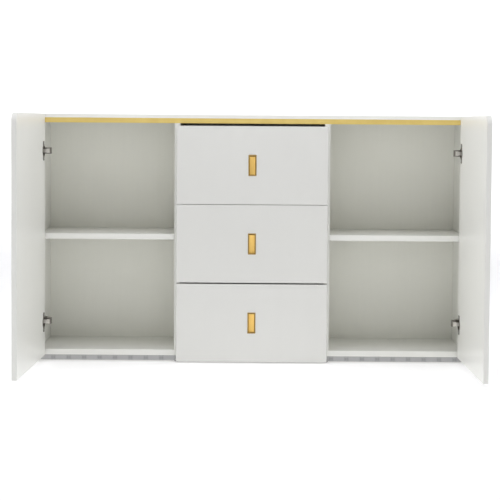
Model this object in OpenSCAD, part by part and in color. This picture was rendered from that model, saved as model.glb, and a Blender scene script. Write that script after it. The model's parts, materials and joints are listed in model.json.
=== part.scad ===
// Sideboard with two hinged doors, three drawers and a lit plinth.
// The origin is the centre of the footprint on the floor.
// X runs along the length, Y from the doors (-) to the wall (+), Z up.

/* [Case] */
// Overall length of the case
case_w = 1410; // [1200:10:1600]
// Overall depth, closed doors included
case_d = 290; // [270:5:420]
// Overall height, glides included
case_h = 800; // [760:5:900]
// Thickness of the sides, dividers, bottom and shelves
panel_t = 18; // [16:1:22]
// Thickness of the top
top_t = 28; // [25:1:36]
// Height of the gold strip below the white edge of the top
trim_h = 16; // [10:1:18]
// Distance from the middle to the outer face of each divider
divider_x = 250; // [220:5:280]
// Thickness of the back panels
back_t = 4; // [3:1:6]
// Distance from the rear edge to the back panels
back_inset = 8; // [6:1:12]
// Depth of the grooves that hold the back panels
groove_d = 5; // [3:0.5:6]

/* [Plinth and light] */
// Thickness of the glides under the case
glide_h = 3; // [2:0.5:5]
// Height of the plinth boards
plinth_h = 19; // [18:1:40]
// How far the front plinth stands behind the case front
plinth_setback = 9; // [6:1:20]
// Spacing of the modules along the light strip
led_pitch = 50; // [25:5:100]
// How far the row of light modules sits to the right of the middle
led_shift = 9; // [0:1:12]

/* [Shelves] */
// Height of the underside of both shelves
shelf_z = 397; // [340:1:450]
// How far the shelves stand behind the case front
shelf_setback = 2; // [1:1:10]
// Radius of the shelf pins
pin_r = 2.5; // [2:0.25:3]

/* [Doors] */
// Thickness of the doors and drawer fronts
door_t = 16; // [16:1:19]
// Gap between the case front and the inner face of a closed door
door_gap = 4; // [4:0.5:6]
// Gap between neighbouring edges of doors, fronts and sides
reveal = 2; // [2:0.5:3]
// Radius of the top corner at the free edge of each door
door_corner_r = 30; // [10:1:40]
// Rounding of the outer vertical edges of doors and fronts
door_edge_r = 3; // [2:0.5:4]
// Angle at which the left door stands open
left_open = 92; // [0:1:95]
// Angle at which the right door stands open
right_open = 91; // [0:1:95]
// Height of the lower hinges
hinge_low_z = 131; // [110:1:180]
// Height of the upper hinges
hinge_high_z = 681; // [600:1:700]

/* [Drawers] */
// How much of each divider's front edge shows beside the drawer fronts
divider_show = 7; // [5:1:9]
// Gap between the lower and the middle drawer front
lower_gap = 4.5; // [1.5:0.5:5]
// Gap between the middle and the upper drawer front
upper_gap = 1.5; // [1.5:0.5:5]
// Height of the lowest drawer front above the floor
front_base_z = 6; // [5:1:20]
// Gap between the gold strip and the top drawer front
top_gap = 8; // [6:1:20]
// Height of the drawer boxes
box_h = 165; // [120:5:180]
// Length of the drawer boxes behind their fronts
box_d = 238; // [200:1:240]
// Thickness of the drawer sides and backs
box_t = 12; // [10:1:15]

/* [Pulls] */
// Width of the frame of a recessed pull
pull_w = 26; // [20:1:40]
// Height of the frame of a recessed pull
pull_h = 68; // [50:1:120]
// Depth of the pull behind the front
pull_d = 11; // [8:0.5:12]

/* [Hidden] */
$fn = 48;
eps = 0.5;

white = "whitesmoke";
gold = "goldenrod";
steel = "silver";

// Case planes
front_y = -case_d / 2;
case_y = front_y + door_t + door_gap;
rear_y = case_d / 2;
back_y = rear_y - back_inset - back_t;
inner_x = case_w / 2 - panel_t;
divider_in = divider_x - panel_t;
floor_z = glide_h + plinth_h;
bay_z = floor_z + panel_t;
top_z = case_h - top_t;
groove_gap = 0.2;

// Drawer stack
front_w = 2 * (divider_x - divider_show);
front_top_z = top_z - top_gap;
front_h = (front_top_z - front_base_z - lower_gap - upper_gap) / 3;
runner_gap = 12.7;
box_w = 2 * (divider_in - runner_gap);
box_lift = 42;
function front_z(i) = front_base_z + i * front_h + (i > 0 ? lower_gap : 0) + (i > 1 ? upper_gap : 0);
function box_z(i) = front_z(i) + box_lift;

// Door swing: the pivot lies inside the hinge cup
pivot_in = 9;
pivot_deep = 9.5;
door_w = case_w / 2 - panel_t - 2 * reveal - front_w / 2 - 0.5;
door_z = floor_z - 1;
door_h = case_h - door_z;
hinge_edge = panel_t + reveal;
pivot_x = -case_w / 2 + hinge_edge + pivot_in;
pivot_y = case_y - door_gap - pivot_deep;

// Hinge cup
cup_r = 17.4;
cup_wall = 0.8;
cup_in = cup_r - cup_wall;
cup_depth = 13;
cup_x = 22 - pivot_in;
flange_t = 1.6;
flange_x = cup_x + 2.5;
flange_w = 18;
flange_h = 62;
hinge_screw_z = 24;
cup_screw_x = cup_x + 6;
cup_screw_r = 1.5;
cup_screw_len = 10;
hinge_pin_r = 1;
eye_r = 2.2;
eye_half = 5;
lug_gap = 0.3;

// Fasteners between panels
cam_r = 7.5;
cam_depth = 12.7;
cam_reach = 34;
bolt_r = 3;
bolt_tip = 1;
bolt_side = 10;
bolt_top = 12;
dowel_r = 4;
dowel_len = 30;
dowel_side = 10;
cam_ys = [case_y + 30, back_y - 28];
dowel_ys = [case_y + 65, back_y - 63];

// ---------------------------------------------------------------- helpers
// A box given by its low and high corners
module span(lo, hi) {
  translate(lo) cube(hi - lo);
}

// A cylinder along X, Y or Z that starts at p
module rod_x(p, r, len) {
  translate(p) rotate([0, 90, 0]) cylinder(r = r, h = len);
}

module rod_y(p, r, len) {
  translate(p) rotate([-90, 0, 0]) cylinder(r = r, h = len);
}

module rod_z(p, r, len) {
  translate(p) cylinder(r = r, h = len);
}

// A rectangle with rounded corners, centred
module round_rect(w, h, r) {
  union() {
    square([w - 2 * r, h], center = true);
    square([w, h - 2 * r], center = true);
    for (sx = [-1, 1], sy = [-1, 1]) translate([sx * (w / 2 - r), sy * (h / 2 - r)]) circle(r = r);
  }
}

// A plate in the XZ plane between two Y values, from an outline drawn in X and Z
module upright(y0, y1) {
  translate([0, y1, 0]) rotate([90, 0, 0]) linear_extrude(y1 - y0) children();
}

// A pan head with a cross recess, its flat underside on z = 0
module pan_head(r, h) {
  slot_l = 1.3 * r;
  slot_w = 0.3 * r;
  difference() {
    cylinder(r = r, h = h);
    translate([0, 0, 0.4 * h]) linear_extrude(h) {
      square([slot_l, slot_w], center = true);
      square([slot_w, slot_l], center = true);
    }
  }
}

// ---------------------------------------------------------------- panel joints
// Holes in the end of a horizontal panel whose middle is at height z, at the +X end
module end_holes(z, cam_z0) {
  for (y = cam_ys) {
    rod_x([inner_x - cam_reach, y, z], bolt_r + 0.3, cam_reach + eps);
    rod_z([inner_x - cam_reach, y, cam_z0], cam_r + 0.1, cam_depth + 0.1);
  }
  for (y = dowel_ys) rod_x([inner_x - dowel_len + dowel_side, y, z], dowel_r, dowel_len);
}

// Matching holes in the inner face of the +X side panel
module side_holes(z) {
  for (y = cam_ys) rod_x([inner_x - eps, y, z], bolt_r, bolt_side + eps);
  for (y = dowel_ys) rod_x([inner_x - eps, y, z], dowel_r, dowel_side + eps);
}

top_mid = top_z + top_t / 2;
bottom_mid = floor_z + panel_t / 2;

module both_ends() {
  children();
  mirror([1, 0, 0]) children();
}

// Groove for the back panels, from the inside of a panel
module back_groove_x(x_face, dir) {
  x0 = dir > 0 ? x_face - eps : x_face - groove_d - groove_gap;
  x1 = dir > 0 ? x_face + groove_d + groove_gap : x_face + eps;
  span([x0, back_y - groove_gap, bay_z - groove_d - groove_gap],
       [x1, back_y + back_t + groove_gap, top_z + groove_d + groove_gap]);
}

module back_groove_z(z_face, dir) {
  z0 = dir > 0 ? z_face - eps : z_face - groove_d - groove_gap;
  z1 = dir > 0 ? z_face + groove_d + groove_gap : z_face + eps;
  span([-inner_x - eps, back_y - groove_gap, z0], [inner_x + eps, back_y + back_t + groove_gap, z1]);
}

// ---------------------------------------------------------------- case
trim_t = 2;
trim_leg = 12;
trim_leg_t = 1.5;

module top_panel() {
  color(white) difference() {
    span([-inner_x, case_y, top_z], [inner_x, rear_y, case_h]);
    span([-inner_x - eps, case_y - eps, top_z - eps], [inner_x + eps, case_y + trim_t, top_z + trim_h]);
    span([-inner_x - eps, case_y - eps, top_z - eps], [inner_x + eps, case_y + trim_leg, top_z + trim_leg_t]);
    back_groove_z(top_z, 1);
    both_ends() end_holes(top_mid, top_z - 0.1);
    both_ends() for (y = cam_ys) rod_z([divider_x - panel_t / 2, y, top_z - eps], bolt_r, bolt_top + eps);
  }
}

// L-shaped strip let into the lower front edge of the top
module gold_trim() {
  color(gold) union() {
    span([-inner_x, case_y, top_z], [inner_x, case_y + trim_t, top_z + trim_h]);
    span([-inner_x, case_y, top_z], [inner_x, case_y + trim_leg, top_z + trim_leg_t]);
  }
}

module right_side_shape() {
  difference() {
    span([inner_x, front_y, glide_h], [case_w / 2, rear_y, case_h]);
    back_groove_x(inner_x, 1);
    side_holes(top_mid);
    side_holes(bottom_mid);
    pin_holes(inner_x, 1);
    plate_screw_places() rod_x([inner_x - eps, 0, 0], plate_screw_r, plate_screw_len + eps);
  }
}

module right_side_panel() {
  color(white) right_side_shape();
}

module left_side_panel() {
  color(white) mirror([1, 0, 0]) right_side_shape();
}

module right_divider_shape() {
  difference() {
    span([divider_in, case_y, bay_z], [divider_x, back_y + back_t + back_inset, top_z]);
    back_groove_x(divider_x, -1);
    back_groove_x(divider_in, 1);
    pin_holes(divider_x, -1);
    for (y = cam_ys) {
      rod_z([divider_x - panel_t / 2, y, top_z - cam_reach], bolt_r + 0.3, cam_reach + eps);
      rod_x([divider_x - cam_depth - 0.1, y, top_z - cam_reach], cam_r + 0.1, cam_depth + eps);
    }
    for (y = dowel_ys)
      rod_z([divider_x - panel_t / 2, y, bay_z - eps], dowel_r, dowel_len - dowel_side + eps);
  }
}

module right_divider() {
  color(white) right_divider_shape();
}

module left_divider() {
  color(white) mirror([1, 0, 0]) right_divider_shape();
}

module bottom_panel() {
  color(white) difference() {
    span([-inner_x, case_y, floor_z], [inner_x, rear_y, bay_z]);
    back_groove_z(bay_z, -1);
    both_ends() end_holes(bottom_mid, floor_z - 0.1);
    both_ends() for (y = dowel_ys)
      rod_z([divider_x - panel_t / 2, y, bay_z - dowel_side], dowel_r, dowel_side + eps);
  }
}

// A back panel reaches into the grooves on all four sides
module back_sheet(x0, x1) {
  color("gainsboro")
    span([x0 - groove_d, back_y, bay_z - groove_d], [x1 + groove_d, back_y + back_t, top_z + groove_d]);
}

module left_back_panel() {
  back_sheet(-inner_x, -divider_x);
}

module centre_back_panel() {
  back_sheet(-divider_in, divider_in);
}

module right_back_panel() {
  back_sheet(divider_x, inner_x);
}

// ---------------------------------------------------------------- shelves
shelf_play = 1;
pin_len = 16;
pin_wall = 8;
shelf_y0 = case_y + shelf_setback;
shelf_y1 = back_y - shelf_play;
pin_ys = [shelf_y0 + 35, shelf_y1 - 35];
pin_z = shelf_z - pin_r - 0.05;

module right_shelf_shape() {
  span([divider_x + shelf_play, shelf_y0, shelf_z], [inner_x - shelf_play, shelf_y1, shelf_z + panel_t]);
}

module right_shelf() {
  color(white) right_shelf_shape();
}

module left_shelf() {
  color(white) mirror([1, 0, 0]) right_shelf_shape();
}

// Pin holes into a face; dir is 1 where the material lies towards +X
module pin_holes(x_face, dir) {
  depth = pin_wall + 0.2;
  for (y = pin_ys) rod_x([dir > 0 ? x_face - eps : x_face - depth, y, pin_z], pin_r, depth + eps);
}

module shelf_pins() {
  color(steel) both_ends() for (y = pin_ys) {
    rod_x([inner_x - pin_len + pin_wall, y, pin_z], pin_r, pin_len);
    rod_x([divider_x - pin_wall, y, pin_z], pin_r, pin_len);
  }
}

// ---------------------------------------------------------------- plinth and light
plinth_y = case_y + plinth_setback;
plinth_back_y = back_y + back_t;
lead_x = -600;
lead_z = floor_z - 3.5;
lead_r = 1.5;
notch_half = 3;
strip_t = 3;
strip_margin = 1;
module_w = 12;
module_h = 8;
module_t = 0.8;
driver_size = [64, 7.5, 15];
inlet_r = 2.75;

// A plinth board with a notch for the lead, its front face at y
module plinth_board(y) {
  color(white) difference() {
    span([-inner_x, y, glide_h], [inner_x, y + panel_t, floor_z]);
    span([lead_x - notch_half, y - eps, lead_z - notch_half],
         [lead_x + notch_half, y + panel_t + eps, floor_z + eps]);
  }
}

module plinth_front() {
  plinth_board(plinth_y);
}

module plinth_rear() {
  plinth_board(plinth_back_y - panel_t);
}

module led_strip() {
  color("darkgray") span([-inner_x + strip_margin, plinth_y - strip_t, glide_h + 1],
                         [inner_x - strip_margin, plinth_y, floor_z - 1]);
}

module led_modules() {
  count = floor((inner_x - 2 * module_w) / led_pitch);
  color("dimgray") for (i = [-count : count])
    translate([i * led_pitch + led_shift, plinth_y - strip_t - module_t / 2, glide_h + plinth_h / 2])
      cube([module_w, module_t, module_h], center = true);
}

// Driver box behind the rear plinth with a round power inlet, and its moulded lead to the strip
module led_driver() {
  d = driver_size;
  z1 = floor_z - 1;
  color("dimgray") difference() {
    union() {
      span([lead_x - d[0] / 2, plinth_back_y, z1 - d[2]], [lead_x + d[0] / 2, plinth_back_y + d[1], z1]);
      rod_y([lead_x, plinth_y, lead_z], lead_r, plinth_back_y - plinth_y + 1);
    }
    rod_y([lead_x + d[0] / 4, plinth_back_y + 1.5, z1 - d[2] / 2], inlet_r, d[1]);
  }
}

glide_r = 8;
foot_pad_r = 20;
foot_pad_h = 5;
foot_stem_r = 10;

// Glides under the sides and plinths, and a support foot under the middle of the bottom
module feet() {
  side_x = case_w / 2 - panel_t / 2;
  mid_x = divider_x - panel_t / 2;
  color("dimgray") {
    both_ends() {
      rod_z([side_x, front_y + 40, 0], glide_r, glide_h);
      rod_z([side_x, rear_y - 40, 0], glide_r, glide_h);
      rod_z([mid_x, plinth_y + panel_t / 2, 0], glide_r, glide_h);
      rod_z([mid_x, plinth_back_y - panel_t / 2, 0], glide_r, glide_h);
    }
    rod_z([0, 0, 0], foot_pad_r, foot_pad_h);
    rod_z([0, 0, foot_pad_h - 1], foot_stem_r, floor_z - foot_pad_h + 1);
  }
}

// ---------------------------------------------------------------- cams, bolts and dowels
// A cam with a cross slot in its face, a chamber for the bolt's head, and a way in along +X at height h
module cam_disc(h) {
  difference() {
    cylinder(r = cam_r, h = cam_depth - 0.2);
    translate([0, 0, -eps]) linear_extrude(2 + eps) {
      square([9, 1.6], center = true);
      square([1.6, 9], center = true);
    }
    translate([0, 0, 3.6]) cylinder(r = cam_r - 2.5, h = cam_depth);
    span([0, -bolt_r - 0.3, h - bolt_r - 0.3], [cam_r + 1, bolt_r + 0.3, h + cam_depth]);
  }
}

module cam_locks() {
  color("gray") both_ends() for (y = cam_ys) {
    translate([inner_x - cam_reach, y, top_z]) cam_disc(top_t / 2);
    translate([inner_x - cam_reach, y, floor_z]) cam_disc(panel_t / 2);
    translate([divider_x, y, top_z - cam_reach]) rotate([0, -90, 0]) cam_disc(panel_t / 2);
  }
}

module cam_bolts() {
  color(steel) both_ends() for (y = cam_ys) {
    for (z = [top_mid, bottom_mid])
      rod_x([inner_x - cam_reach + bolt_tip, y, z], bolt_r - 0.1, cam_reach - bolt_tip + bolt_side);
    rod_z([divider_x - panel_t / 2, y, top_z - cam_reach + bolt_tip], bolt_r - 0.1,
          cam_reach - bolt_tip + bolt_top);
  }
}

module dowels() {
  play = 0.3;
  color("burlywood") both_ends() for (y = dowel_ys) {
    for (z = [top_mid, bottom_mid])
      rod_x([inner_x - dowel_len + dowel_side + play, y, z], dowel_r - 0.05, dowel_len - 2 * play);
    rod_z([divider_x - panel_t / 2, y, bay_z - dowel_side + play], dowel_r - 0.05, dowel_len - 2 * play);
  }
}

// ---------------------------------------------------------------- hinges
plate_t = 4;
plate_y0 = 10;
plate_len = 46;
plate_h = 44;
plate_w = 16;
plate_screw_r = 1.8;
plate_screw_len = 12;
plate_screw_pitch = 32;
plate_screw_y = 33;
arm_half = 10;
arm_reach = 58;
arm_front = -1.5;
leg_half = 7;
hook_half = 6;
leg_in = 46;
leg_out = 55.5;
hook_front = 15.2;
hook_back = 12;

// The four screw places on the inner face of the +X side panel
module plate_screw_places() {
  for (z = [hinge_low_z, hinge_high_z], s = [-1, 1])
    translate([0, case_y + plate_screw_y, z + s * plate_screw_pitch / 2]) children();
}

// Mounting plate on the inner face of the +X side panel, at height z
module hinge_plate(z) {
  x1 = inner_x;
  x0 = inner_x - plate_t;
  y = case_y + plate_screw_y;
  wing_t = 2;
  wing_half = 6;
  difference() {
    union() {
      span([x0, case_y + plate_y0, z - plate_w / 2], [x1, case_y + plate_y0 + plate_len, z + plate_w / 2]);
      rod_x([x0, y, z], plate_w / 2 + 1, plate_t);
      span([x1 - wing_t, y - wing_half, z - plate_h / 2], [x1, y + wing_half, z + plate_h / 2]);
    }
    for (s = [-1, 1])
      rod_x([x0 - eps, y, z + s * plate_screw_pitch / 2], plate_screw_r, plate_t + 2 * eps);
  }
}

module hinge_plates() {
  color(steel) both_ends() for (z = [hinge_low_z, hinge_high_z]) hinge_plate(z);
}

module hinge_plate_screws() {
  head_t = 1.6;
  wing_t = 2;
  color("gray") both_ends() plate_screw_places() {
    rod_x([inner_x - wing_t, 0, 0], plate_screw_r, wing_t + plate_screw_len);
    translate([inner_x - wing_t, 0, 0]) rotate([0, -90, 0]) pan_head(3.6, head_t);
  }
}

// Arm of one hinge, drawn in a plan where u runs inwards from the outer face
// of the case side and v runs forwards from the case front
module hinge_arm(z) {
  u_plate = panel_t + plate_t;
  u_pivot = hinge_edge + pivot_in;
  v_pivot = door_gap + pivot_deep;
  translate([case_w / 2, case_y, z]) mirror([1, 0, 0]) mirror([0, 1, 0]) {
    translate([0, 0, -arm_half]) linear_extrude(2 * arm_half) polygon([
      [u_plate, -52], [u_plate + 7, -52], [leg_in + 2, -24], [arm_reach, -15], [arm_reach, arm_front],
      [leg_in - 2, arm_front], [leg_in - 2, -11], [u_plate + 8, -14], [u_plate, -18]
    ]);
    difference() {
      union() {
        span([leg_in, arm_front - 1, -leg_half], [leg_out, hook_front, leg_half]);
        span([u_pivot + 5, hook_back, -hook_half], [leg_out, hook_front, hook_half]);
        span([u_pivot, hook_back, -eye_half], [leg_out, hook_front, eye_half]);
        rod_z([u_pivot, v_pivot, -eye_half], eye_r, 2 * eye_half);
      }
      rod_z([u_pivot, v_pivot, -eye_half - eps], hinge_pin_r + 0.06, 2 * eye_half + 2 * eps);
    }
  }
}

module right_hinge_arms() {
  color(steel) for (z = [hinge_low_z, hinge_high_z]) hinge_arm(z);
}

module left_hinge_arms() {
  color(steel) mirror([1, 0, 0]) for (z = [hinge_low_z, hinge_high_z]) hinge_arm(z);
}

// Places a piece of the left door, drawn closed round the pivot, at its open angle
module hang(angle) {
  translate([pivot_x, pivot_y, 0]) rotate([0, 0, -angle]) children();
}

// One hinge cup with its flange, its pocket mouth facing +Y, lugs beside the arm's eye
module hinge_cup(z) {
  face = pivot_deep;
  bottom = face - cup_depth;
  translate([0, 0, z]) {
    difference() {
      union() {
        rod_y([cup_x, bottom, 0], cup_r, cup_depth);
        upright(face, face + flange_t) union() {
          translate([cup_x, 0]) circle(r = 18.4);
          translate([flange_x, 0]) round_rect(flange_w, flange_h, 5);
        }
      }
      rod_y([cup_x, bottom + cup_wall, 0], cup_in, cup_depth + flange_t + eps);
      for (s = [-1, 1]) rod_y([cup_screw_x, face - eps, s * hinge_screw_z], 1.8, flange_t + 2 * eps);
    }
    for (s = [-1, 1]) difference() {
      span([-2, bottom + cup_wall - 0.1, s > 0 ? eye_half + lug_gap : -eye_half - lug_gap - 1],
           [2.4, 2, s > 0 ? eye_half + lug_gap + 1 : -eye_half - lug_gap]);
      rod_z([0, 0, s * (eye_half + lug_gap + 0.5) - 2], hinge_pin_r, 4);
    }
  }
}

module hinge_pin_pair() {
  len = 2 * (eye_half + lug_gap + 1);
  for (z = [hinge_low_z, hinge_high_z]) rod_z([0, 0, z - len / 2], hinge_pin_r, len);
}

// Screws through the flange of each cup into the door
module cup_screw_set() {
  head_t = 1.3;
  len = cup_screw_len + flange_t;
  for (z = [hinge_low_z, hinge_high_z], s = [-1, 1]) {
    rod_y([cup_screw_x, pivot_deep - cup_screw_len, z + s * hinge_screw_z], cup_screw_r, len);
    translate([cup_screw_x, pivot_deep + flange_t, z + s * hinge_screw_z]) rotate([-90, 0, 0])
      pan_head(3, head_t);
  }
}

module left_cup_screws() {
  color("gray") hang(left_open) cup_screw_set();
}

module right_cup_screws() {
  color("gray") mirror([1, 0, 0]) hang(right_open) cup_screw_set();
}

module left_hinge_cups() {
  color(steel) hang(left_open) for (z = [hinge_low_z, hinge_high_z]) hinge_cup(z);
}

module right_hinge_cups() {
  color(steel) mirror([1, 0, 0]) hang(right_open) for (z = [hinge_low_z, hinge_high_z]) hinge_cup(z);
}

module left_hinge_pins() {
  color("gray") hang(left_open) hinge_pin_pair();
}

module right_hinge_pins() {
  color("gray") mirror([1, 0, 0]) hang(right_open) hinge_pin_pair();
}

// ---------------------------------------------------------------- pulls
pull_lip = 1.4;
pull_frame = 2.8;
pull_wall = 1.4;
pull_play = 0.3;

// Pocket for a pull, centred on the origin, cut from y = 0 towards +Y
module pull_pocket() {
  w = pull_w - 4;
  h = pull_h - 4;
  span([-w / 2 - pull_play, -eps, -h / 2 - pull_play],
       [w / 2 + pull_play, pull_d + pull_play, h / 2 + pull_play]);
}

// A recessed pull: a rounded frame on the face and an open cup behind it
module pull_shape() {
  w = pull_w - 4;
  h = pull_h - 4;
  difference() {
    union() {
      upright(-pull_lip, 0) round_rect(pull_w, pull_h, 1.2);
      span([-w / 2, -0.2, -h / 2], [w / 2, pull_d, h / 2]);
    }
    upright(-pull_lip - eps, pull_d - pull_wall)
      round_rect(pull_w - 2 * pull_frame, pull_h - 2 * pull_frame, 1);
  }
}

// ---------------------------------------------------------------- doors
door_pull_x = 55;
door_pull_z = front_z(1) + front_h / 2;

// Places a pull on the closed door
module door_pull_place() {
  translate([door_w - pivot_in - door_pull_x, pivot_deep - door_t, door_pull_z]) children();
}

// The left door, closed, drawn round the pivot
module door_shape() {
  x0 = -pivot_in;
  x1 = door_w - pivot_in;
  y_out = pivot_deep - door_t;
  r = door_corner_r;
  difference() {
    intersection() {
      translate([0, 0, door_z]) linear_extrude(door_h) union() {
        translate([x0 + door_edge_r, y_out]) square([door_w - 2 * door_edge_r, door_t]);
        translate([x0, y_out + door_edge_r]) square([door_w, door_t - door_edge_r]);
        for (x = [x0 + door_edge_r, x1 - door_edge_r])
          translate([x, y_out + door_edge_r]) circle(r = door_edge_r);
      }
      upright(y_out - 1, pivot_deep + 1) union() {
        translate([x0 - 1, door_z - 1]) square([door_w + 1 - r, door_h + 1]);
        translate([x0 - 1, door_z - 1]) square([door_w + 1, door_h + 1 - r]);
        translate([x1 - r, case_h - r]) circle(r = r, $fn = 96);
      }
    }
    for (z = [hinge_low_z, hinge_high_z]) {
      rod_y([cup_x, pivot_deep - cup_depth - 0.2, z], cup_r + 0.1, cup_depth + 1);
      for (s = [-1, 1])
        rod_y([cup_screw_x, pivot_deep - cup_screw_len, z + s * hinge_screw_z], cup_screw_r,
              cup_screw_len + eps);
    }
    door_pull_place() pull_pocket();
  }
}

module left_door_panel() {
  color(white) hang(left_open) door_shape();
}

module right_door_panel() {
  color(white) mirror([1, 0, 0]) hang(right_open) door_shape();
}

module left_door_pull() {
  color(gold) hang(left_open) door_pull_place() pull_shape();
}

module right_door_pull() {
  color(gold) mirror([1, 0, 0]) hang(right_open) door_pull_place() pull_shape();
}

// ---------------------------------------------------------------- drawers
channel_t = 1.4;
channel_w = 7.5;
slide_h = 26;
slide_w = 9;
runner_h = slide_h + 2 * channel_t + 1;
runner_len = box_d - 8;
slide_len = box_d - 13;
runner_rise = 60;
bottom_lift = 10;
bottom_t = 4;
slot_d = 5;
box_y0 = case_y - door_gap;
box_y1 = box_y0 + box_d;

module drawer_front(i) {
  color(white) difference() {
    translate([0, 0, front_z(i)]) linear_extrude(front_h) union() {
      translate([-front_w / 2 + door_edge_r, front_y]) square([front_w - 2 * door_edge_r, door_t]);
      translate([-front_w / 2, front_y + door_edge_r]) square([front_w, door_t - door_edge_r]);
      for (s = [-1, 1])
        translate([s * (front_w / 2 - door_edge_r), front_y + door_edge_r]) circle(r = door_edge_r);
    }
    translate([0, front_y, front_z(i) + front_h / 2]) pull_pocket();
  }
}

module drawer_pull(i) {
  color(gold) translate([0, front_y, front_z(i) + front_h / 2]) pull_shape();
}

// Left side of a box, with the slot that holds the bottom
module drawer_side_shape(i) {
  z0 = box_z(i);
  difference() {
    span([-box_w / 2, box_y0, z0], [-box_w / 2 + box_t, box_y1, z0 + box_h]);
    span([-box_w / 2 + box_t - slot_d - 0.1, box_y0 - eps, z0 + bottom_lift - 0.1],
         [-box_w / 2 + box_t + eps, box_y1 + eps, z0 + bottom_lift + bottom_t + 0.1]);
  }
}

module drawer_left_side(i) {
  color(white) drawer_side_shape(i);
}

module drawer_right_side(i) {
  color(white) mirror([1, 0, 0]) drawer_side_shape(i);
}

module drawer_back(i) {
  z0 = box_z(i);
  color(white) difference() {
    span([-box_w / 2 + box_t, box_y1 - box_t, z0], [box_w / 2 - box_t, box_y1, z0 + box_h]);
    span([-box_w / 2, box_y1 - box_t - eps, z0 + bottom_lift - 0.1],
         [box_w / 2, box_y1 - box_t + slot_d + 0.1, z0 + bottom_lift + bottom_t + 0.1]);
  }
}

module drawer_bottom(i) {
  z0 = box_z(i) + bottom_lift;
  x1 = box_w / 2 - box_t + slot_d;
  color("gainsboro") span([-x1, box_y0, z0], [x1, box_y1 - box_t + slot_d, z0 + bottom_t]);
}

// A C-shaped runner member of outer height h and depth w, web on x = 0, open towards +X
module c_channel(h, w, len) {
  difference() {
    span([0, 0, -h / 2], [w, len, h / 2]);
    span([channel_t, -eps, -h / 2 + channel_t], [w + eps, len + eps, h / 2 - channel_t]);
  }
}

module drawer_runner_pair(i) {
  z = box_z(i) + runner_rise;
  color(steel) both_ends() translate([box_w / 2, case_y + 2, z]) c_channel(slide_h, slide_w, slide_len);
}

module case_channel_pair(i) {
  color(steel) both_ends() translate([divider_in, case_y + 2, box_z(i) + runner_rise])
    mirror([1, 0, 0]) c_channel(runner_h, channel_w, runner_len);
}

module upper_runner_channels() {
  case_channel_pair(2);
}

module middle_runner_channels() {
  case_channel_pair(1);
}

module lower_runner_channels() {
  case_channel_pair(0);
}

top_panel();
gold_trim();
left_side_panel();
right_side_panel();
left_divider();
right_divider();
bottom_panel();
left_back_panel();
centre_back_panel();
right_back_panel();
left_shelf();
right_shelf();
shelf_pins();
plinth_front();
plinth_rear();
led_strip();
led_modules();
led_driver();
feet();
cam_locks();
cam_bolts();
dowels();
hinge_plates();
hinge_plate_screws();
left_hinge_arms();
right_hinge_arms();
upper_runner_channels();
middle_runner_channels();
lower_runner_channels();
left_door_panel();
left_hinge_cups();
left_hinge_pins();
left_cup_screws();
left_door_pull();
right_door_panel();
right_hinge_cups();
right_hinge_pins();
right_cup_screws();
right_door_pull();
drawer_front(2);  // upper_drawer_front
drawer_left_side(2);  // upper_drawer_left_side
drawer_right_side(2);  // upper_drawer_right_side
drawer_back(2);  // upper_drawer_back
drawer_bottom(2);  // upper_drawer_bottom
drawer_pull(2);  // upper_drawer_pull
drawer_runner_pair(2);  // upper_drawer_runners
drawer_front(1);  // middle_drawer_front
drawer_left_side(1);  // middle_drawer_left_side
drawer_right_side(1);  // middle_drawer_right_side
drawer_back(1);  // middle_drawer_back
drawer_bottom(1);  // middle_drawer_bottom
drawer_pull(1);  // middle_drawer_pull
drawer_runner_pair(1);  // middle_drawer_runners
drawer_front(0);  // lower_drawer_front
drawer_left_side(0);  // lower_drawer_left_side
drawer_right_side(0);  // lower_drawer_right_side
drawer_back(0);  // lower_drawer_back
drawer_bottom(0);  // lower_drawer_bottom
drawer_pull(0);  // lower_drawer_pull
drawer_runner_pair(0);  // lower_drawer_runners
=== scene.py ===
"""White sideboard with gold details, finished round the CAD frame."""
import json
import math

import bmesh
import bpy
from mathutils import Matrix, Vector


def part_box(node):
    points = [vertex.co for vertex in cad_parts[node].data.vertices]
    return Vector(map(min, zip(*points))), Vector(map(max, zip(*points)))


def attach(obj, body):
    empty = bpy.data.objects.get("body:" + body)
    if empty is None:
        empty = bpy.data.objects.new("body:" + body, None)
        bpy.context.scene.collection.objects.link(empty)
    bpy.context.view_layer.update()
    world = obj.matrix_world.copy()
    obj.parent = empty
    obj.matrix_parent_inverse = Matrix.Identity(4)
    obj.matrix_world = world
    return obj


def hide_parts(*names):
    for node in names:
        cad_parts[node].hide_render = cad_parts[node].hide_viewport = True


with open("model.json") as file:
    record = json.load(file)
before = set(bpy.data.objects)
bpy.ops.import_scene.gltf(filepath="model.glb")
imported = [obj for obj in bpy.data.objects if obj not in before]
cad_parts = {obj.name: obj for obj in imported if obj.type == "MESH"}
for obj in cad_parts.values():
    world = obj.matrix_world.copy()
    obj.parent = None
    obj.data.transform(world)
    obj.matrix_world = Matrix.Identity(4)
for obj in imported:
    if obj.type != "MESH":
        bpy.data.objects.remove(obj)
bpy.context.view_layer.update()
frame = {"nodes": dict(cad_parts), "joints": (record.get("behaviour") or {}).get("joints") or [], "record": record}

nodes = frame["nodes"]
slots = {part["node"]: part["material_slot"] for part in frame["record"]["subparts"]}
body_of_node = {n: b for b, group in frame["record"]["behaviour"]["bodies"].items() for n in group}
MM = 0.001

# how pale the white lacquer is
LEVEL = 0.88
# where the repeating light modules lie along X
LED_MIDDLE = sum(corner.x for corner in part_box("led_modules")) / 2
LED_PITCH = 50 * MM
HOOK_FRONT_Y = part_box("left_hinge_arms")[0].y

# the pull: outline, how far the frame stands proud, and how deep the cup's floor and back lie
PULL_W, PULL_H = 26 * MM, 68 * MM
PULL_LIP, PULL_FLOOR, PULL_BACK = 1.4 * MM, 9.6 * MM, 11 * MM
PULL_BODY_INSET = 2 * MM
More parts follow.
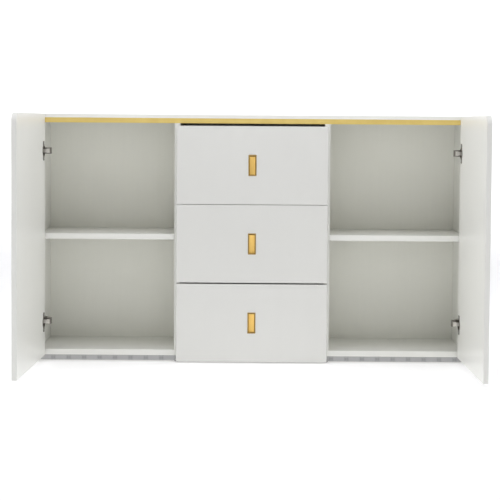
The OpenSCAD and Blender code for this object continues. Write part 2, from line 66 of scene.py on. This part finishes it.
# the rolled frame: millimetres inside the outline, and height as a share of the lip
FRAME_ROLL = [(0.0, 0.0), (0.0, 0.55), (0.12, 0.85), (0.45, 0.97), (0.9, 1.0), (1.9, 0.86), (2.6, 0.55),
              (2.95, 0.1)]
# the cup: millimetres inside the outline at the sides, foot and hood, and depth as a share of the floor's
CUP_STEPS = [(3.0, 3.0, 3.2, 0.3), (3.3, 3.2, 4.6, 0.75), (3.8, 3.6, 6.2, 0.95), (4.6, 4.4, 7.4, 1.0)]
# how far below the cup's top the hood's painted shadow reaches
PAINTED_HOOD_SHADOW_REACH = 7.5 * MM

# how widely the sharp edges of each slot's nodes are rounded, in millimetres
EDGE = {"white_lacquer": 0.7, "thin_board": 0.3, "gold": 0.3, "nickel_steel": 0.25, "zinc_fittings": 0.15,
        "light_strip": 0.5, "light_modules": 0.3, "dark_plastic": 0.5, "dowel_wood": 0.5}
# nodes whose material differs from their slot's, by the end of their names
SPECIAL = {"_pull": "gold_pull", "_hinge_cups": "hinge_cup", "_hinge_arms": "hinge_arm",
           "_drawer_front": "front_lacquer_painted_shade"}


# ---------------------------------------------------------------- material helpers
class Shader:
    """A new material with short calls to add and join nodes."""

    def __init__(self, name):
        self.material = bpy.data.materials.new(name)
        self.material.use_nodes = True
        self.tree = self.material.node_tree
        self.principled = self.tree.nodes["Principled BSDF"]
        self.position = self.add("ShaderNodeTexCoord").outputs["Object"]

    def add(self, kind, inputs=None, **settings):
        node = self.tree.nodes.new(kind)
        for key, value in settings.items():
            setattr(node, key, value)
        for key, value in (inputs or {}).items():
            if isinstance(value, bpy.types.NodeSocket):
                self.tree.links.new(value, node.inputs[key])
            else:
                node.inputs[key].default_value = value
        return node

    def set(self, **values):
        """Sets or links the principled shader's own sockets; an underscore stands for a space."""
        for key, value in values.items():
            socket = self.principled.inputs[key.replace("_", " ")]
            if isinstance(value, bpy.types.NodeSocket):
                self.tree.links.new(value, socket)
            else:
                socket.default_value = value

    def scaled(self, x, y, z):
        """The object's position, stretched per axis."""
        return self.add("ShaderNodeMapping", {"Vector": self.position, "Scale": (x, y, z)}).outputs["Vector"]

    def noise(self, scale, detail=2.0, roughness=0.5, vector=None):
        inputs = {"Vector": vector or self.position, "Scale": scale, "Detail": detail, "Roughness": roughness}
        return self.add("ShaderNodeTexNoise", inputs).outputs["Fac"]

    def remap(self, value, low, high, from_low=0.3, from_high=0.7):
        inputs = {"Value": value, "From Min": from_low, "From Max": from_high, "To Min": low, "To Max": high}
        return self.add("ShaderNodeMapRange", inputs, interpolation_type="SMOOTHSTEP").outputs["Result"]

    def math(self, operation, a, b):
        node = self.add("ShaderNodeMath", operation=operation)
        for socket, value in zip(node.inputs, (a, b)):
            if isinstance(value, bpy.types.NodeSocket):
                self.tree.links.new(value, socket)
            else:
                socket.default_value = value
        return node.outputs[0]

    def mix(self, factor, a, b):
        node = self.add("ShaderNodeMix", data_type="RGBA")
        for index, value in ((0, factor), (6, a), (7, b)):
            if isinstance(value, bpy.types.NodeSocket):
                self.tree.links.new(value, node.inputs[index])
            else:
                node.inputs[index].default_value = value
        return node.outputs[2]

    def bump(self, height, distance, below=None):
        inputs = {"Height": height, "Distance": distance, "Strength": 1.0}
        if below is not None:
            inputs["Normal"] = below
        return self.add("ShaderNodeBump", inputs).outputs["Normal"]

    def edges(self, radius):
        """0 on flat faces, rising towards 1 where the surface turns within the radius."""
        rounded = self.add("ShaderNodeBevel", {"Radius": radius}, samples=4).outputs["Normal"]
        normal = self.add("ShaderNodeNewGeometry").outputs["Normal"]
        dot = self.add("ShaderNodeVectorMath", operation="DOT_PRODUCT")
        self.tree.links.new(rounded, dot.inputs[0])
        self.tree.links.new(normal, dot.inputs[1])
        return self.remap(dot.outputs["Value"], 1.0, 0.0, 0.82, 0.995)


def tinted(level, warmth):
    """An off-white that leans a little towards yellow."""
    return (level, level, level * (1.0 - warmth), 1.0)


def white_lacquer(name, level, gloss, warmth):
    """Sprayed lacquer: fine orange peel, cloudy tone and gloss, duller and yellower along the edges."""
    s = Shader(name)
    cloud = s.noise(1.6, 2.0)
    streak = s.noise(28.0, 3.0, 0.55, s.scaled(1.0, 1.0, 0.06))
    tone = s.mix(s.remap(cloud, 0.0, 1.0), tinted(level * 0.988, warmth), tinted(level, warmth))
    tone = s.mix(s.remap(streak, 0.0, 0.5), tone, tinted(level * 0.982, warmth))
    edge = s.edges(1.2 * MM)
    tone = s.mix(s.math("MULTIPLY", edge, 0.35), tone, tinted(level * 0.93, warmth))
    peel = s.noise(300.0, 1.0)
    dust = s.noise(2600.0, 1.0)
    normal = s.bump(dust, 0.003 * MM, s.bump(peel, 0.012 * MM))
    rough = s.math("ADD", s.remap(cloud, gloss - 0.015, gloss + 0.02), s.math("MULTIPLY", edge, 0.10))
    s.set(Base_Color=tone, Roughness=rough, Normal=normal, Coat_Weight=0.25, Coat_Roughness=0.26, IOR=1.45)
    return s.material


def edge_band(name, level, warmth):
    """Band round a door's narrow faces, finely grained; the level it is given sets it darker than the lacquer
    there, as painted shade.
    """
    s = Shader(name)
    cloud = s.noise(5.0, 3.0)
    scrape = s.noise(60.0, 3.0, 0.6, s.scaled(1.0, 1.0, 0.08))
    tone = s.mix(s.remap(cloud, 0.0, 1.0), tinted(level * 0.985, warmth), tinted(level, warmth))
    tone = s.mix(s.remap(scrape, 0.0, 0.5), tone, tinted(level * 0.975, warmth))
    grain = s.noise(1500.0, 2.0, 0.6)
    s.set(Base_Color=tone, Roughness=s.remap(cloud, 0.40, 0.50), Normal=s.bump(grain, 0.01 * MM), IOR=1.46)
    return s.material


def thin_board(name, level, warmth):
    """Thin fibreboard with a rolled satin coat, whose faint roller lines run upwards."""
    s = Shader(name)
    roller = s.noise(90.0, 3.0, 0.6, s.scaled(1.0, 1.0, 0.05))
    cloud = s.noise(4.0, 3.0)
    tone = s.mix(s.remap(roller, 0.0, 0.5), tinted(level, warmth), tinted(level * 0.975, warmth))
    tone = s.mix(s.remap(cloud, 0.0, 0.4), tone, tinted(level * 0.985, warmth))
    fibre = s.noise(900.0, 3.0)
    normal = s.bump(roller, 0.03 * MM, s.bump(fibre, 0.02 * MM))
    s.set(Base_Color=tone, Roughness=s.remap(cloud, 0.42, 0.55), Normal=normal, Coat_Weight=0.1, IOR=1.48)
    return s.material


def brushed_gold(name, along, colour, rough):
    """Brushed gold-coloured metal; the brush lines run along one axis: 0 is X, 2 is Z."""
    s = Shader(name)
    stretch = [1.0, 1.0, 1.0]
    stretch[along] = 0.02
    lines = s.noise(1500.0, 3.0, 0.7, s.scaled(*stretch))
    wide = s.noise(180.0, 2.0, 0.5, s.scaled(*stretch))
    stain = s.noise(25.0, 4.0, 0.6)
    deep = (colour[0] * 0.86, colour[1] * 0.80, colour[2] * 0.68, 1.0)
    pale = (colour[0], colour[1], colour[2], 1.0)
    tone = s.mix(s.remap(lines, 0.0, 0.5), pale, deep)
    tone = s.mix(s.remap(stain, 0.0, 0.3), tone, deep)
    edge = s.edges(0.5 * MM)
    bright = tuple(min(1.0, c * 1.08) for c in colour) + (1.0,)
    tone = s.mix(s.math("MULTIPLY", edge, 0.6), tone, bright)
    normal = s.bump(lines, 0.012 * MM, s.bump(wide, 0.01 * MM))
    roughness = s.math("ADD", s.remap(wide, rough - 0.05, rough + 0.07), s.remap(stain, -0.02, 0.04))
    s.set(Base_Color=tone, Metallic=1.0, Roughness=roughness, Normal=normal, Anisotropic=0.4)
    return s.material


def plated_steel(name, colour, rough):
    """Pressed and plated steel: soft dents, fine grain and brighter worn edges."""
    s = Shader(name)
    grain = s.noise(1800.0, 3.0, 0.6)
    dents = s.noise(260.0, 2.0)
    stain = s.noise(60.0, 4.0, 0.6)
    base = tuple(colour) + (1.0,)
    dull = tuple(c * 0.72 for c in colour) + (1.0,)
    tone = s.mix(s.remap(stain, 0.0, 0.6), base, dull)
    edge = s.edges(0.4 * MM)
    tone = s.mix(s.math("MULTIPLY", edge, 0.5), tone, tuple(min(1.0, c * 1.2) for c in colour) + (1.0,))
    normal = s.bump(grain, 0.008 * MM, s.bump(dents, 0.03 * MM))
    s.set(Base_Color=tone, Metallic=1.0, Roughness=s.remap(stain, rough - 0.06, rough + 0.08), Normal=normal)
    return s.material


def moulded_plastic(name, colour, rough):
    """Moulded plastic with a fine spark-eroded texture."""
    s = Shader(name)
    pits = s.noise(1400.0, 2.0, 0.6)
    cloud = s.noise(35.0, 3.0)
    base = tuple(colour) + (1.0,)
    tone = s.mix(s.remap(cloud, 0.0, 0.6), base, tuple(c * 0.9 for c in colour) + (1.0,))
    edge = s.edges(0.5 * MM)
    worn = tuple(min(1.0, c * 1.15 + 0.01) for c in colour) + (1.0,)
    tone = s.mix(s.math("MULTIPLY", edge, 0.4), tone, worn)
    roughness = s.remap(cloud, rough - 0.05, rough + 0.06)
    s.set(Base_Color=tone, Roughness=roughness, Normal=s.bump(pits, 0.03 * MM))
    return s.material


def hinge_arm_steel(name):
    """Plated hinge arm: the body is painted dark as shade, and the front end painted pale as lit."""
    s = Shader(name)
    stain = s.noise(90.0, 4.0, 0.6)
    grain = s.noise(1800.0, 3.0, 0.6)
    y = s.add("ShaderNodeSeparateXYZ", {"Vector": s.position}).outputs["Y"]
    # painted light: the front end facing the lamps is pale, and the body behind it is painted dark as shade
    front = s.remap(y, 1.0, 0.0, HOOK_FRONT_Y + 0.3 * MM, HOOK_FRONT_Y + 1.6 * MM)
    dark = s.mix(s.remap(stain, 0.0, 0.7), (0.30, 0.28, 0.25, 1.0), (0.22, 0.20, 0.18, 1.0))
    pale = s.mix(s.remap(stain, 0.0, 0.7), (0.80, 0.77, 0.71, 1.0), (0.70, 0.67, 0.61, 1.0))
    s.set(Base_Color=s.mix(front, dark, pale), Metallic=0.85, Roughness=s.remap(stain, 0.34, 0.46))
    s.set(Normal=s.bump(grain, 0.008 * MM))
    return s.material


def frosted_profile(name, pale, dark):
    """Frosted light profile: each module behind it shows as a soft darker patch that repeats along X."""
    s = Shader(name)
    xyz = s.add("ShaderNodeSeparateXYZ", {"Vector": s.position})
    from_middle = s.math("SUBTRACT", xyz.outputs["X"], LED_MIDDLE)
    along = s.math("PINGPONG", from_middle, LED_PITCH / 2)
    patch = s.remap(along, 1.0, 0.0, 5.0 * MM, 11.0 * MM)
    core = s.remap(along, 0.35, 0.0, 1.5 * MM, 4.0 * MM)
    shade = s.math("SUBTRACT", patch, core)
    cloud = s.noise(40.0, 3.0)
    low, high = (dark, dark, dark * 1.01, 1.0), (pale, pale, pale, 1.0)
    tone = s.mix(shade, high, low)
    tone = s.mix(s.remap(cloud, 0.0, 0.25), tone, low)
    frost = s.noise(1600.0, 2.0, 0.6)
    s.set(Base_Color=tone, Roughness=s.remap(cloud, 0.40, 0.52), Normal=s.bump(frost, 0.02 * MM))
    s.set(Coat_Weight=0.3, Coat_Roughness=0.25)
    return s.material


def beech(name):
    """Fluted beech dowels: fine grain along X."""
    s = Shader(name)
    grain = s.noise(700.0, 4.0, 0.6, s.scaled(0.06, 1.0, 1.0))
    tone = s.mix(s.remap(grain, 0.0, 1.0), (0.62, 0.42, 0.24, 1.0), (0.78, 0.60, 0.40, 1.0))
    s.set(Base_Color=tone, Roughness=0.62, Normal=s.bump(grain, 0.06 * MM))
    return s.material


materials = {
    "white_lacquer": white_lacquer("white_lacquer", LEVEL, 0.34, 0.054),
    # drawer fronts and the doors' outer faces: the same white lacquer, made darker as painted shade
    "front_lacquer_painted_shade": white_lacquer("front_lacquer_painted_shade", LEVEL * 0.905, 0.32, 0.046),
    # the doors' narrow faces: the lacquer made greyer as painted shade
    "edge_band": edge_band("edge_band", LEVEL * 0.91, 0.05),
    "top_band": edge_band("top_band", 0.95, 0.05),
    "thin_board": thin_board("thin_board", LEVEL, 0.085),
    "gold": brushed_gold("gold_strip", 0, (0.86, 0.68, 0.24), 0.42),
    "gold_pull": brushed_gold("gold_pull", 2, (0.90, 0.61, 0.19), 0.36),
    # the pull's frame: the pull's gold painted darker, as shade
    "gold_frame_painted_shade": brushed_gold("gold_frame_painted_shade", 2, (0.45, 0.33, 0.13), 0.36),
    # the cup's top under the hood: the pull's gold painted darker still, as the hood's shadow
    "gold_painted_hood_shadow": brushed_gold("gold_painted_hood_shadow", 2, (0.22, 0.16, 0.07), 0.42),
    "nickel_steel": plated_steel("nickel_steel", (0.62, 0.59, 0.54), 0.30),
    # hinge cups and flanges: the plated steel made darker as painted shade
    "hinge_cup": plated_steel("hinge_cup", (0.26, 0.24, 0.21), 0.38),
    "zinc_fittings": plated_steel("zinc_fittings", (0.55, 0.56, 0.57), 0.36),
    "hinge_arm": hinge_arm_steel("hinge_arm"),
    "light_strip": frosted_profile("light_strip", 0.50, 0.43),
    "light_modules": frosted_profile("light_modules", 0.46, 0.35),
    "dark_plastic": moulded_plastic("dark_plastic", (0.05, 0.05, 0.052), 0.5),
    "dowel_wood": beech("dowel_wood"),
}


# ---------------------------------------------------------------- CAD nodes
def give_material(obj, material):
    obj.data.materials.clear()
    obj.data.materials.append(material)


def soften(obj, width):
    """Welds a node's mesh, clears its flat faces of needless edges and rounds its sharp edges."""
    mesh = obj.data
    if "custom_normal" in mesh.attributes:
        mesh.attributes.remove(mesh.attributes["custom_normal"])
    mesh.shade_smooth()
    weld = obj.modifiers.new("weld", "WELD")
    weld.merge_threshold = 0.005 * MM
    flat = obj.modifiers.new("flat", "DECIMATE")
    flat.decimate_type = "DISSOLVE"
    flat.angle_limit = math.radians(0.5)
    bevel = obj.modifiers.new("round", "BEVEL")
    bevel.width = width
    bevel.segments = 2
    bevel.limit_method = "ANGLE"
    bevel.angle_limit = math.radians(35)
    bevel.harden_normals = True
    bevel.use_clamp_overlap = True


def new_piece(name, body, surfaces, stands_for):
    """An empty mesh piece that rides on a body in place of a CAD node; the caller fills its mesh."""
    obj = bpy.data.objects.new(name, bpy.data.meshes.new(name))
    bpy.context.scene.collection.objects.link(obj)
    for surface in surfaces:
        obj.data.materials.append(materials[surface])
    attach(obj, body)
    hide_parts(stands_for)
    return obj


def fill(obj, bm, smooth_angle=40):
    """Moves a bmesh into the piece, with outward normals, and shades it smooth below the angle."""
    bmesh.ops.recalc_face_normals(bm, faces=bm.faces)
    bm.to_mesh(obj.data)
    bm.free()
    obj.data.shade_smooth()
    obj.data.set_sharp_from_angle(angle=math.radians(smooth_angle))


def rounded_rectangle(width, height, radius, steps=5):
    """Points of a rounded rectangle round the origin, anticlockwise."""
    points = []
    for k, (sx, sy) in enumerate(((1, 1), (-1, 1), (-1, -1), (1, -1))):
        cx, cy = sx * (width / 2 - radius), sy * (height / 2 - radius)
        for i in range(steps + 1):
            a = math.radians(90 * (k + i / steps))
            points.append((cx + radius * math.cos(a), cy + radius * math.sin(a)))
    return points


def join_rings(bm, rings):
    """Quads between rings of equal length; the last ring is closed by one face."""
    for a, b in zip(rings, rings[1:]):
        for i in range(len(a)):
            j = (i + 1) % len(a)
            bm.faces.new((a[i], a[j], b[j], b[i]))
    bm.faces.new(rings[-1])


def pull(node, body, place):
    """A recessed pull, a rolled frame round a cup with a hood; place sets it on its front. The frame and the cup's
    top under the hood get darker gold as painted shade and shadow.
    """
    bm = bmesh.new()
    rings = []

    def ring(width, height, radius, y, middle=0.0):
        outline = rounded_rectangle(width, height, radius)
        rings.append([bm.verts.new((x, y, z + middle)) for x, z in outline])

    for y in (PULL_BACK, 0.0):
        ring(PULL_W - 2 * PULL_BODY_INSET, PULL_H - 2 * PULL_BODY_INSET, 1.0 * MM, y)
    for inset, up in FRAME_ROLL:
        radius = max(0.4, 1.6 - 0.3 * inset) * MM
        ring(PULL_W - 2 * inset * MM, PULL_H - 2 * inset * MM, radius, -PULL_LIP * up)
    for side, foot, hood, down in CUP_STEPS:
        height = PULL_H - (foot + hood) * MM
        ring(PULL_W - 2 * side * MM, height, 1.1 * MM, PULL_FLOOR * down, (foot - hood) / 2 * MM)
    join_rings(bm, rings)
    bm.faces.new(rings[0])
    # the cup's floor takes the lit gold; the frame gets painted shade, and the top under the hood a painted shadow
    for face in bm.faces:
        middle = face.calc_center_median()
        if middle.y > 0.9 * PULL_FLOOR:
            face.material_index = 0
        elif middle.y > 0.1 * PULL_FLOOR and middle.z > PULL_H / 2 - PAINTED_HOOD_SHADOW_REACH:
            face.material_index = 2
        else:
            face.material_index = 1
    bmesh.ops.transform(bm, matrix=place, verts=bm.verts)
    obj = new_piece(node + "_cup", body, ["gold_pull", "gold_frame_painted_shade", "gold_painted_hood_shadow"], node)
    fill(obj, bm, 60)


for name, obj in nodes.items():
    slot = slots[name]
    key = next((m for ending, m in SPECIAL.items() if name.endswith(ending)), slot)
    give_material(obj, materials[key])
    soften(obj, EDGE[slot] * MM)


def open_turn(side):
    """The turn of an open door from its closed position, taken from the closed end of its joint's range."""
    joint = next(j for j in frame["joints"] if j["child"] == side + "_door")
    return Matrix.Rotation(math.radians(joint["range_deg"][0]) * (1 if side == "left" else -1), 4, "Z")


def finish_door(side):
    """Gives a door's outer face the front lacquer and its narrow faces the edge band, both made darker than the
    lacquer as painted shade.
    """
    panel = nodes[side + "_door_panel"]
    outward = open_turn(side) @ Vector((0.0, -1.0, 0.0))
    panel.data.materials.append(materials["edge_band"])
    panel.data.materials.append(materials["front_lacquer_painted_shade"])
    for polygon in panel.data.polygons:
        facing = polygon.normal.dot(outward)
        if abs(facing) < 0.3:
            polygon.material_index = 1
        elif facing > 0:
            polygon.material_index = 2


def finish_top():
    """Gives the top board's front edge its whiter band."""
    mesh = nodes["top_panel"].data
    mesh.materials.append(materials["top_band"])
    for polygon in mesh.polygons:
        if polygon.normal.y < -0.9:
            polygon.material_index = 1


for door_side in ("left", "right"):
    finish_door(door_side)
finish_top()


def pull_places():
    """Each pull's node, its body, and where the middle of its frame lies on its front."""
    for level in ("upper", "middle", "lower"):
        low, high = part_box(level + "_drawer_pull")
        centre = Vector(((low.x + high.x) / 2, low.y + PULL_LIP, (low.z + high.z) / 2))
        yield level + "_drawer_pull", level + "_drawer", Matrix.Translation(centre)
    for side in ("left", "right"):
        node = side + "_door_pull"
        low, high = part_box(node)
        # the outward normal of the open door's outer face
        turn = open_turn(side)
        outward = turn @ Vector((0.0, -1.0, 0.0))
        half_thick = (PULL_LIP + PULL_BACK) / 2
        centre = (low + high) / 2 + outward * (half_thick - PULL_LIP)
        yield node, side + "_door", Matrix.Translation(centre) @ turn


for pull_node, pull_body, pull_place in pull_places():
    pull(pull_node, pull_body, pull_place)


# ---------------------------------------------------------------- floor, light and camera
LIGHT_COLOUR = (0.97, 0.97, 1.01)


def floor_material():
    s = Shader("studio_white")
    cloud = s.noise(2.0, 2.0)
    s.set(Base_Color=s.mix(cloud, tinted(0.95, 0.0), tinted(0.97, 0.0)), Roughness=0.9)
    s.set(Emission_Color=(1.0, 1.0, 1.0, 1.0), Emission_Strength=0.28)
    return s.material


def backdrop():
    """A pale floor that curves up into a wall all round the object."""
    width, length, centre, bend, top, steps = 30.0, 27.0, -3.5, 3.0, 9.0, 12
    curve = [(bend * (1 - math.sin(a)), bend * (1 - math.cos(a)))
             for a in (math.radians(90 * i / steps) for i in range(steps + 1))]
    bm = bmesh.new()
    rings = []
    for inset, height in reversed(curve + [(0.0, top)]):
        outline = rounded_rectangle(width - 2 * inset, length - 2 * inset, 5.0 - inset, 12)
        rings.append([bm.verts.new((x, y + centre, height)) for x, y in outline])
    join_rings(bm, rings)
    obj = bpy.data.objects.new("floor", bpy.data.meshes.new("floor"))
    bpy.context.scene.collection.objects.link(obj)
    give_material(obj, floor_material())
    fill(obj, bm)


def area_light(name, place, target, size, power):
    light = bpy.data.lights.new(name, "AREA")
    light.shape = "RECTANGLE"
    light.size, light.size_y = size
    light.energy = power
    light.color = LIGHT_COLOUR
    obj = bpy.data.objects.new(name, light)
    obj.location = place
    obj.rotation_mode = "QUATERNION"
    obj.rotation_quaternion = (Vector(target) - Vector(place)).to_track_quat("-Z", "Y")
    obj.visible_camera = False
    bpy.context.scene.collection.objects.link(obj)


def studio():
    backdrop()
    # name, place, target, size, watts
    for light in (
            ("overhead", (0.0, -0.75, 3.4), (0.0, -0.75, 0.0), (5.0, 2.6), 99),
            ("front_low", (0.0, -5.2, 0.5), (0.0, 0.0, 0.4), (4.0, 1.2), 7.5),
            ("left", (-9.0, -1.6, 2.5), (0.0, -0.3, 0.4), (5.0, 5.0), 201),
            ("right", (9.0, -1.6, 2.5), (0.0, -0.3, 0.4), (5.0, 5.0), 110),
            ("far_floor", (0.0, 4.0, 4.5), (0.0, 5.0, 0.0), (10.0, 3.0), 60),
            ("behind", (0.0, 7.2, 4.2), (0.0, 9.4, 1.2), (9.0, 2.0), 190)):
        area_light(*light)
    world = bpy.data.worlds.new("studio")
    world.use_nodes = True
    world.node_tree.nodes["Background"].inputs["Color"].default_value = (1.0, 1.0, 1.0, 1.0)
    world.node_tree.nodes["Background"].inputs["Strength"].default_value = 0.02
    bpy.context.scene.world = world


def camera():
    data = bpy.data.cameras.new("camera")
    data.sensor_width = 36.0
    data.lens = 96.6
    data.shift_x = 0.001
    data.shift_y = -0.1205
    obj = bpy.data.objects.new("camera", data)
    obj.location = (-0.009, -4.435, 0.772)
    pitch, roll = math.radians(2.82), math.radians(0.41)
    obj.rotation_mode = "QUATERNION"
    look = Matrix.Rotation(math.radians(90) - pitch, 3, "X") @ Matrix.Rotation(roll, 3, "Z")
    obj.rotation_quaternion = look.to_quaternion()
    bpy.context.scene.collection.objects.link(obj)
    bpy.context.scene.camera = obj


studio()
camera()
bpy.context.scene.view_settings.view_transform = "Standard"
